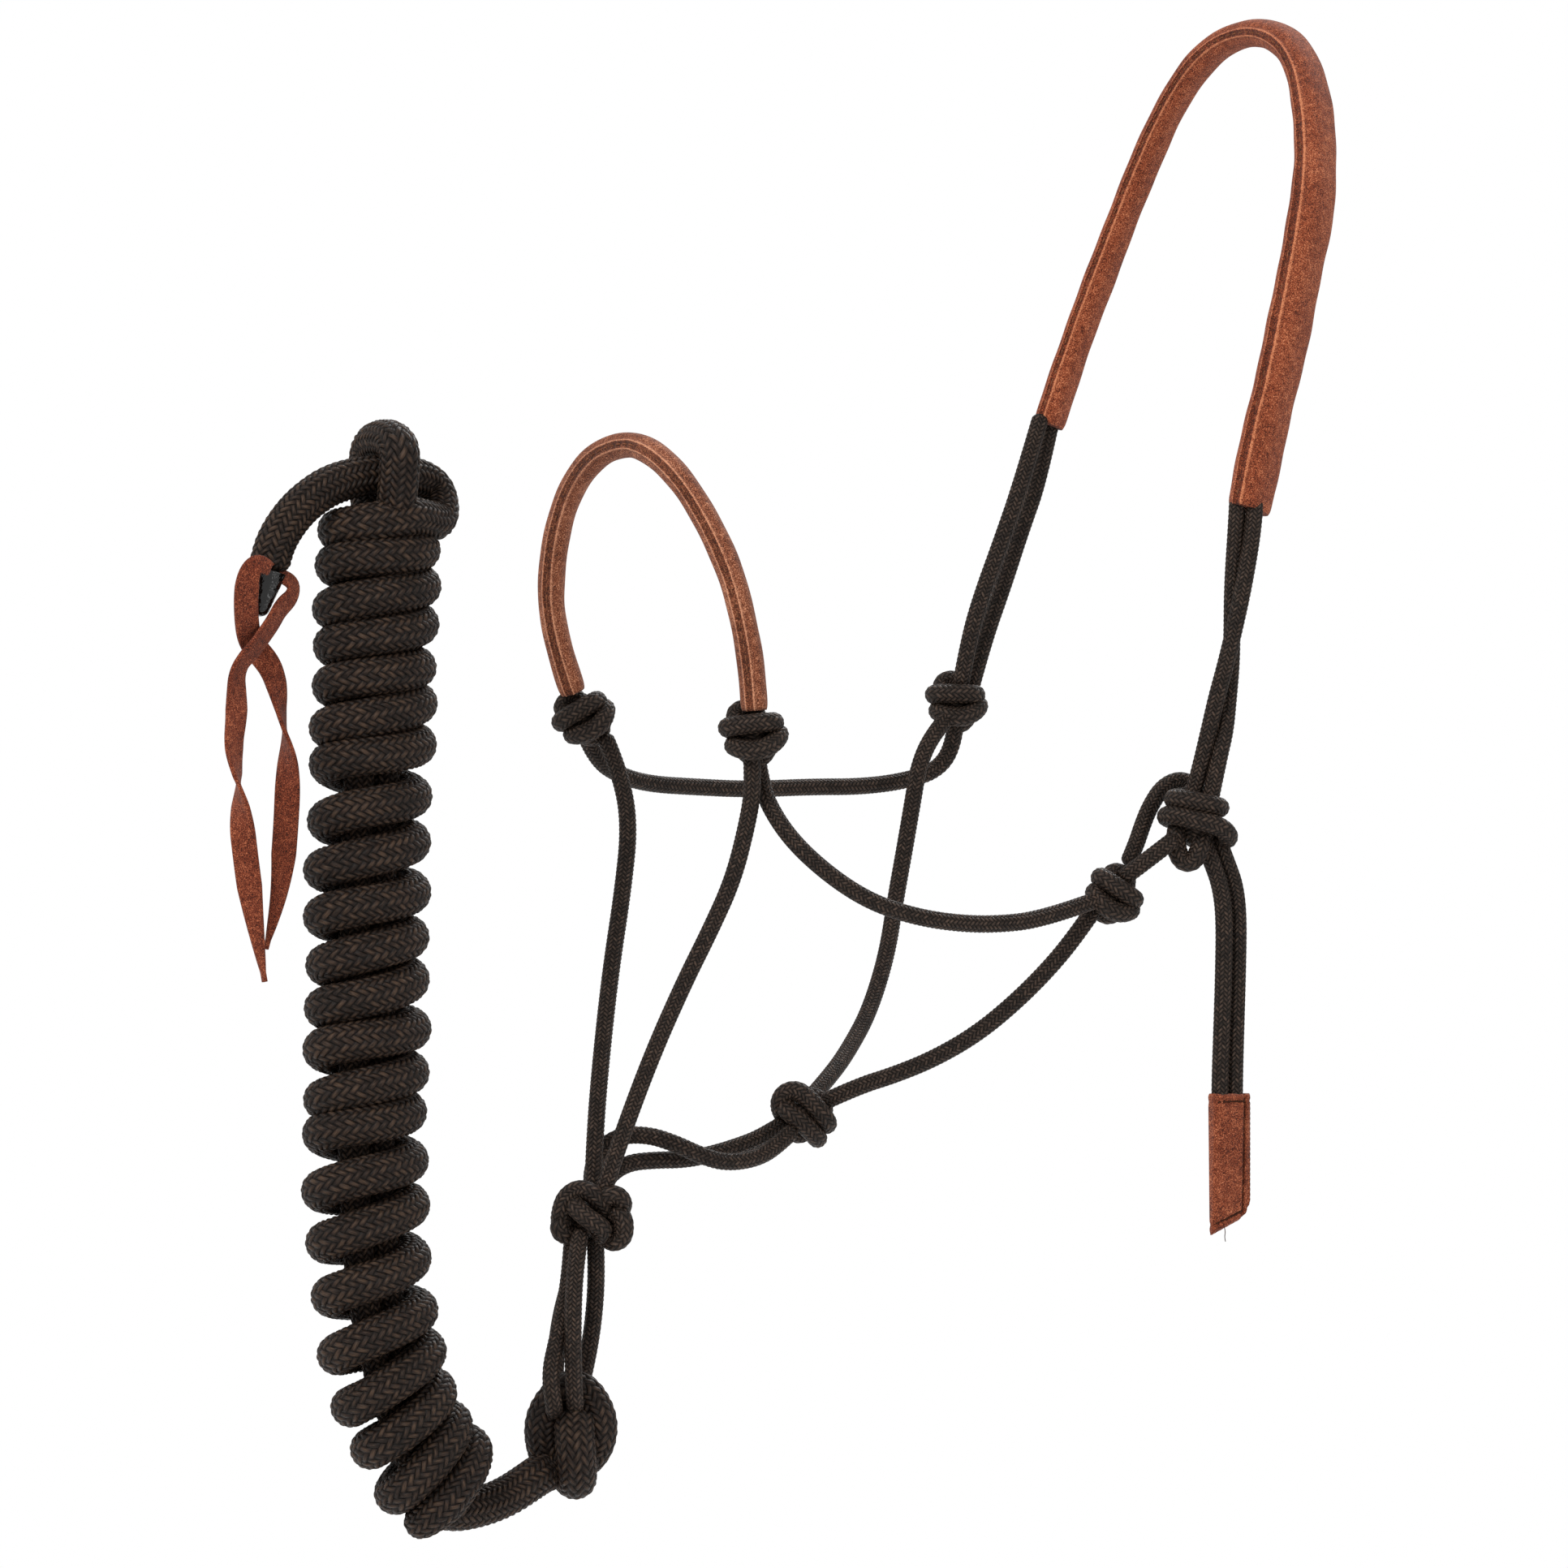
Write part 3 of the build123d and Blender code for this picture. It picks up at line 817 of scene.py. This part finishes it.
def beside_hank(distance, width, depth, angle=0.0):
    """A point beside the hank's middle line, at a distance from its top. The angle is 0 in front."""
    line, across, along = HANK_FRAME
    place = np.array([np.interp(distance, along, line[:, axis]) for axis in range(3)])
    side = np.array([np.interp(distance, along, across[:, axis]) for axis in range(3)])
    return tuple(place + side * width * math.sin(angle) - np.array([0, 1, 0]) * depth * math.cos(angle))


HANK_FRAME = hank_frame()
HANK_LENGTH = HANK_FRAME[2][-1]


def core_points(side):
    """One of the two strands inside the hank, from its foot up. side is 1 on the right and -1 on the left."""
    quarter = math.pi / 2 * side
    distances = [HANK_LENGTH - 14, HANK_LENGTH - 34, 290, 240, 190, 140, 90, 45, 22]
    return [beside_hank(distance, CORE_OFFSET, 0, quarter) for distance in distances]


def turn_points():
    """The hank's turns, wound from its foot up, leaning down to the left. Their size wanders a little."""
    points = []
    distance = HANK_LENGTH - FIRST_TURN
    for number, pitch in enumerate([*TURN_PITCHES, LAST_PITCH]):
        count = TURN_POINTS if number < len(TURN_PITCHES) else LAST_TURN_POINTS
        for step in range(count):
            share = step / TURN_POINTS
            angle = (share - 0.25) * 2 * math.pi
            width = TURN_HALF_WIDTH + TURN_WANDER * math.sin(1.9 * (number + share) + 1)
            lean = TURN_LEAN + LEAN_WANDER * math.sin(2.3 * (number + share))
            from_top = distance - pitch * share - lean * math.sin(angle)
            points.append(beside_hank(from_top, width, TURN_HALF_DEPTH, angle))
        distance -= pitch
    return points


def lead_sections():
    """The lead rope's points from its knot to its tail, in stretches that are squeezed or not by turns."""
    knot = [tuple(np.array(LEAD_KNOT_CENTRE) + RIGHT * right + AWAY * away + UP * up)
            for right, away, up in LEAD_KNOT_POINTS]
    return [knot + LEAD_LINK, core_points(1), HANGING_LOOP, core_points(-1)[::-1], turn_points() + LEAD_TAIL]


def squeeze_along(sections):
    """Pairs of a share of the rope's length and the share of its thickness that it keeps there."""
    marks = []
    travelled = 0
    previous = sections[0][0]
    for number, section in enumerate(sections):
        keeps = SQUEEZED if number % 2 else 1
        for point in section:
            travelled += math.dist(previous, point)
            previous = point
            marks.append((travelled, keeps))
    return [(distance / travelled, keeps) for distance, keeps in marks]


def add_lead():
    sections = lead_sections()
    line = follow([point for section in sections for point in section])
    rope = braided_tube("lead_rope", line, LEAD_ROPE, LEAD_BRAID, squeeze_along(sections), tip=0.6)
    dress(rope, lead_braid)
    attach(rope, "lead")
    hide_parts("lead_knot", "lead_link", "hank", "hanging_loop", "lead_tail")
    return rope, line


# ---------------------------------------------------------------- the end of the lead rope

WHIPPING_LENGTH = 16.0
WHIPPING_RADII = (6.4, 2.4)
WHIPPING_TURNS = 9
WHIPPING_RINGS = 90
WHIPPING_AROUND = 48
BINDING_RELIEF = 0.07
TIP_STARTS = 0.86  # share of the whipping's length where its tip starts to round over


def add_whipping():
    """The bound end of the lead rope, a taper with the binding's turns standing up a little."""
    end = np.array(LEAD_TAIL[-1], dtype=float)
    direction = unit(end - np.array(LEAD_TAIL[-2], dtype=float))
    share = np.linspace(0, 1, WHIPPING_RINGS)
    line = end + direction * (share * WHIPPING_LENGTH)[:, None]
    angle = np.arange(WHIPPING_AROUND) / WHIPPING_AROUND * 2 * math.pi
    big, small = WHIPPING_RADII
    taper = big + (small - big) * share
    past_taper = np.clip((share - TIP_STARTS) / (1 - TIP_STARTS), 0, 1)
    rounding = np.sqrt(np.clip(1 - past_taper**2, 0.02, 1))
    binding = BINDING_RELIEF * np.abs(np.sin(share[:, None] * WHIPPING_TURNS * math.pi + angle[None, :] / 2))
    radius = (taper * rounding)[:, None] + binding * rounding[:, None]
    whipping = ring_mesh("end_whipping_binding", round_rings(line, radius, WHIPPING_AROUND))
    dress(whipping, whipping_gloss)
    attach(whipping, "lead")
    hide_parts("end_whipping")
    return whipping


# ---------------------------------------------------------------- leather sleeves

SLEEVE_AROUND = 96
SLEEVE_STEP = 0.8
SLEEVE_SQUARENESS = 2.6
POLL_SLEEVE_SIZE = (13.2, 9.6)  # from the seam to the back, then from side to side
NOSE_SLEEVE_SIZE = (9.2, 9.2)
POLL_SEAM_DIRECTION = np.array([-0.9, -0.45, 0])
NOSE_SEAM_DIRECTION = -AWAY * 0.96 - RIGHT * 0.28
POLL_SEAM_HALF_WIDTH = 1.3
NOSE_SEAM_HALF_WIDTH = 1.7
SEAM_HEIGHT = 0.8
RAW_EDGE_HEIGHT = 0.7
RAW_EDGE_WIDTH = 0.45
SEAM_SOFTNESS = 0.15
FLARE = 0.4  # how much wider the crown sleeve is at its near end
FLARE_FROM = 0.42  # share of the sleeve where it starts to widen
FLARE_SHARE = 0.3  # share of the sleeve over which it widens
FIRST_STITCH = 5.0
STITCH_SPACING = 4.0
STITCH_STEPS = 3
STITCH_RISE = 0.15
STITCH_DIAMETER = 0.5
STITCH_SIDES = 6


def sleeve_section(width, thickness, seam_half_width):
    """Points round a sleeve whose seam, at the first point, stands out as a strip between two raw edges."""
    turn = np.arange(SLEEVE_AROUND) / SLEEVE_AROUND
    angle = turn * 2 * math.pi
    cosine, sine = np.cos(angle), np.sin(angle)
    radius = squared_circle(angle, SLEEVE_SQUARENESS)
    out = cosine * radius * width / 2
    side = sine * radius * thickness / 2
    from_edge = np.abs(side) - seam_half_width
    edges = np.exp(-((from_edge / RAW_EDGE_WIDTH) ** 2))
    strip = 1 / (1 + np.exp(from_edge / SEAM_SOFTNESS))
    out = out + np.where(cosine > 0, strip * SEAM_HEIGHT + edges * RAW_EDGE_HEIGHT, 0)
    return out, side


# The sleeve's size wanders along it: each wave has a share of the size, a length and a phase. The size also
# shrinks by a share towards both open ends.
SLEEVE_WAVES = ((0.018, 7.3, 0.0), (0.012, 2.9, 1.0))
MOUTH_SHRINK = 0.10
MOUTH_LENGTH = 1.2


def add_sleeve(name, points, size, seam_direction, seam_half_width, material, flare=0.0):
    """A suede tube sewn shut on the side towards seam_direction, and wider by the share flare at its end."""
    line = even_steps(follow(points), SLEEVE_STEP)
    along = lengths_along(line)
    outward, sideways = facing_frame(line, seam_direction)
    out, side = sleeve_section(*size, seam_half_width)
    waves = 1.0
    for height, length, phase in SLEEVE_WAVES:
        waves = waves + height * np.sin(along / length + phase)
    edge = 1 - MOUTH_SHRINK * np.exp(-np.minimum(along, along[-1] - along) / MOUTH_LENGTH)
    wider = 1 + flare * np.clip((along / along[-1] - FLARE_FROM) / FLARE_SHARE, 0, 1)
    scale = (waves * edge * wider)[:, None, None]
    rings = line[:, None, :] + scale * (
        out[None, :, None] * outward[:, None, :] + side[None, :, None] * sideways[:, None, :]
    )
    sleeve = ring_mesh(name + "_suede", rings)
    dress(sleeve, material)
    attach(sleeve, "halter")
    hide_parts(name)
    stitches = []
    for distance in np.arange(FIRST_STITCH, along[-1] - FIRST_STITCH, STITCH_SPACING):
        row = int(np.searchsorted(along, distance))
        further = min(row + STITCH_STEPS, len(line) - 1)
        out_reach = size[0] / 2 * wider[row] + SEAM_HEIGHT
        start = line[row] + outward[row] * out_reach
        middle = (line[row] + line[further]) / 2 + outward[row] * (out_reach + STITCH_RISE)
        end = line[further] + outward[further] * out_reach
        stitches.append(stitch(f"{name}_stitch", [start, middle, end], STITCH_DIAMETER))
    thread = join(name + "_stitches", stitches)
    dress(thread, brown_thread)
    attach(thread, "halter")


def stitch(name, points, diameter):
    """A short plain thread through some points."""
    line = np.array(points, dtype=float)
    radius = np.full((len(line), 1), diameter / 2)
    return ring_mesh(name, round_rings(line, radius, STITCH_SIDES))


# ---------------------------------------------------------------- tail tab

TAB_CENTRE = (-70, -87)
TAB_TOP = -373.5
TAB_LONG_BOTTOM = -424.0
TAB_SHORT_BOTTOM = -417.0
TAB_WIDTH = 15.5
TAB_DEPTH = 8.0
TAB_ROWS = 90
TAB_COLUMNS = 90  # across each face
TAB_SEAM = 0.6  # how far the stitched line is from the middle towards the right edge
TAB_TOP_SEAM = 0.06  # how far down the tab its other two stitched lines are
TAB_FOOT_SEAM = 0.93
TAB_CORNER = 0.5  # how much narrower the rounded right corner makes the foot
CORNER_STARTS = 0.85
SEAM_GROOVE = 1.5  # depths of the grooves along the stitched lines
TOP_GROOVE = 0.35
FOOT_GROOVE = 0.6
NAP_ROUGHNESS = 0.12
SIDE_STITCHES = 14
END_STITCHES = 6
LOOSE_THREAD = 0.3


def tab_place(share_across, share_down, out):
    """A point of the tab, from -1 at its left to 1 at its right, and from 0 at its top to 1 at its foot."""
    middle_x, middle_y = TAB_CENTRE
    bottom = TAB_LONG_BOTTOM + (TAB_SHORT_BOTTOM - TAB_LONG_BOTTOM) * (share_across + 1) / 2
    height = TAB_TOP + (bottom - TAB_TOP) * share_down
    return (middle_x + share_across * TAB_WIDTH / 2, middle_y + out, height)


def tab_thickness(share_across, share_down):
    """Half the tab's thickness: full over the cords at the top, and thin at the sewn sides and the foot."""
    fullness = 1 - 0.45 * share_down
    side = (1 - abs(share_across) ** 3.5) ** 0.5
    groove = SEAM_GROOVE * math.exp(-(((share_across - TAB_SEAM) / 0.06) ** 2))
    top_groove = TOP_GROOVE * math.exp(-(((share_down - TAB_TOP_SEAM) / 0.015) ** 2))
    foot_groove = FOOT_GROOVE * math.exp(-(((share_down - TAB_FOOT_SEAM) / 0.015) ** 2))
    rounding = min(1, (1 - share_down) / 0.03, share_down / 0.03 + 0.4) ** 0.5
    body = TAB_DEPTH / 2 * fullness * (0.34 + 0.66 * side)
    if share_across > TAB_SEAM:
        body = max(body, TAB_DEPTH * 0.24)
    return max(0.5, (body - groove - top_groove - foot_groove) * rounding)


def tab_ring(row):
    """The points round the tab at one row: its front from left to right, then its back."""
    share_down = row / (TAB_ROWS - 1)
    right_edge = 1 - TAB_CORNER * (max(0, share_down - CORNER_STARTS) / (1 - CORNER_STARTS)) ** 2.5
    front, back = [], []
    for column in range(TAB_COLUMNS):
        even_share = math.sin(math.pi / 2 * (2 * column / (TAB_COLUMNS - 1) - 1))
        share_across = (even_share + 1) / 2 * (right_edge + 1) - 1
        thickness = tab_thickness(share_across, share_down)
        rough = NAP_ROUGHNESS * math.sin(row * 1.7 + column * 0.48)
        front.append(tab_place(share_across, share_down, rough - thickness))
        back.append(tab_place(share_across, share_down, thickness))
    return front + back[::-1]


def tab_stitches():
    """The stitches of the tab's three sewn lines, on both its faces, and the loose thread at its foot."""
    stitches = []
    for side in (-1, 1):
        for index in range(SIDE_STITCHES):
            share = 0.07 + index * 0.062
            out = side * (tab_thickness(TAB_SEAM, share) + 0.1)
            ends = [tab_place(TAB_SEAM, share, out), tab_place(TAB_SEAM, share + 0.02, out + side * 0.15),
                    tab_place(TAB_SEAM, share + 0.042, out)]
            stitches.append(stitch("tab_side_stitch", ends, 0.8))
        for index in range(END_STITCHES):
            across = -0.85 + index * 0.24
            for share in (TAB_TOP_SEAM, TAB_FOOT_SEAM):
                out = side * (tab_thickness(across, share) + 0.15)
                ends = [tab_place(across, share, out), tab_place(across + 0.1, share, out + side * 0.2),
                        tab_place(across + 0.2, share, out)]
                stitches.append(stitch("tab_end_stitch", ends, 0.6))
    loose_end = [tab_place(-0.5, 0.95, -2), tab_place(-0.44, 1.01, -3), tab_place(-0.5, 1.05, -2.8),
                 tab_place(-0.42, 1.09, -2.6)]
    stitches.append(stitch("tab_loose_thread", even_steps(follow(loose_end), 0.5), LOOSE_THREAD))
    return stitches


def add_tail_tab():
    """The folded suede tab over the cord's ends, sewn round its edge, with nothing printed on it."""
    tab = ring_mesh("tail_tab_suede", np.array([tab_ring(row) for row in range(TAB_ROWS)]))
    dress(tab, tab_suede)
    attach(tab, "crown_tail")
    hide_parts("tail_tab")
    thread = join("tail_tab_stitches", tab_stitches())
    dress(thread, dark_thread)
    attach(thread, "crown_tail")


# ---------------------------------------------------------------- strap

STRAP_WIDTH = 9.0
STRAP_THICKNESS = 1.8
FRONT_STRAP_ROUTE = [
    (-414, -2, -189.5), (-407.5, -2, -191.5), (-408, -2, -197), (-413, -2, -201), (-416, -2, -206),
    (-420, -2, -211), (-425, -3.5, -216), (-429, -2.5, -220), (-431, -2, -225), (-431, -2, -231),
    (-431, -2, -239), (-432.5, -2, -250), (-430, -2, -263), (-429, -2, -276), (-427, -2, -291),
    (-424.5, -2, -306.5), (-422, -2, -320), (-419.5, -2, -332.5),
]
BACK_STRAP_ROUTE = [
    (-420.5, -7, -187.5), (-425, -8, -184.7), (-429, -7, -188.5), (-429, -5, -197), (-427, -2, -205),
    (-424.5, 0.5, -211.5), (-421, 1.6, -215.5), (-416.5, 1.6, -220), (-414, 1.6, -224), (-412, 1.6, -230),
    (-410.5, 1.6, -238.5), (-408, 1.6, -250), (-408, 1.6, -265), (-409, 1.6, -281), (-410.5, 1.6, -296.5),
    (-413.5, 1.6, -310), (-417, 1.6, -321),
]
# How far the strap is turned about its line, in degrees, at some shares of its length
FRONT_STRAP_TWIST = [
    (0, 30), (0.27, 34), (0.38, 5), (0.47, 20), (0.53, 45), (0.6, 100), (0.68, 150), (1, 180),
]
BACK_STRAP_TWIST = [
    (0, -10), (0.3, -10), (0.37, 10), (0.43, 40), (0.48, 60), (0.56, 110), (0.67, 160), (1, 180),
]
STRAP_MIDDLE = [(-416.0, -6, -184), (-415.0, 0, -186), (-411.0, 1, -188)]
STRAP_STEP = 0.8
STRAP_AROUND = 40
STRAP_SQUARENESS = 5
STRAP_POINT = 34.0  # length of the point at each half's end
BLUNT_FROM = 0.1  # share of the point's length, from its end, where it stops narrowing
POINT_CURVE = 0.7  # below 1, the point's sides bow out
GATHERED_WIDTH = 0.6  # share of its width that the strap keeps where it leaves the rope
FULL_WIDTH_FROM = 0.1  # share of its length where it has its full width


def strap_rings(line, twist, pointed):
    """Flat rounded sections along a line, turned about it by twist degrees at each share of its length."""
    along = lengths_along(line)
    share = along / along[-1]
    thick_way, wide_way = facing_frame(line, np.array([0, -1.0, 0]))
    places, turns = zip(*twist)
    roll = np.radians(np.interp(share, places, turns))
    angle = np.arange(STRAP_AROUND) / STRAP_AROUND * 2 * math.pi
    radius = squared_circle(angle, STRAP_SQUARENESS)
    from_end = (1 - share) * along[-1]
    point = np.clip(from_end / STRAP_POINT, BLUNT_FROM, 1) ** POINT_CURVE if pointed else 1.0
    gathered = np.clip(GATHERED_WIDTH + (1 - GATHERED_WIDTH) * share / FULL_WIDTH_FROM, 0, 1)
    width = STRAP_WIDTH / 2 * point * gathered
    wide = np.cos(angle) * radius
    thick = np.sin(angle) * radius * STRAP_THICKNESS / 2
    rings = []
    for row in range(len(line)):
        cosine, sine = math.cos(roll[row]), math.sin(roll[row])
        wide_axis = wide_way[row] * cosine + thick_way[row] * sine
        thick_axis = thick_way[row] * cosine - wide_way[row] * sine
        rings.append(line[row] + wide[:, None] * width[row] * wide_axis + thick[:, None] * thick_axis)
    return np.array(rings)


def add_strap_half(name, route, twist):
    line = even_steps(follow(route), STRAP_STEP)
    half = ring_mesh(name + "_suede", strap_rings(line, twist, pointed=True))
    dress(half, strap_suede)
    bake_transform(half)
    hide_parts(name)
    return half


def add_strap():
    line = even_steps(np.array(STRAP_MIDDLE), STRAP_STEP)
    middle = ring_mesh("strap_middle_suede", strap_rings(line, [(0, 0), (1, 0)], pointed=False))
    dress(middle, strap_suede)
    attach(middle, "lead")
    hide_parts("strap_middle")
    front = add_strap_half("front_strap_half", FRONT_STRAP_ROUTE, FRONT_STRAP_TWIST)
    back = add_strap_half("back_strap_half", BACK_STRAP_ROUTE, BACK_STRAP_TWIST)
    return [middle, front, back]


# ---------------------------------------------------------------- the whole

lead_rope, lead_line = add_lead()
add_halter_strands()
add_sleeved_ropes()
add_knots()
lead_end_pieces = [add_whipping(), *add_strap()]
add_sleeve(
    "poll_sleeve", POLL_ROUTE, POLL_SLEEVE_SIZE, POLL_SEAM_DIRECTION, POLL_SEAM_HALF_WIDTH, crown_suede, FLARE
)
add_sleeve(
    "nose_sleeve", NOSE_ROUTE, NOSE_SLEEVE_SIZE, NOSE_SEAM_DIRECTION, NOSE_SEAM_HALF_WIDTH, nose_suede
)
add_tail_tab()
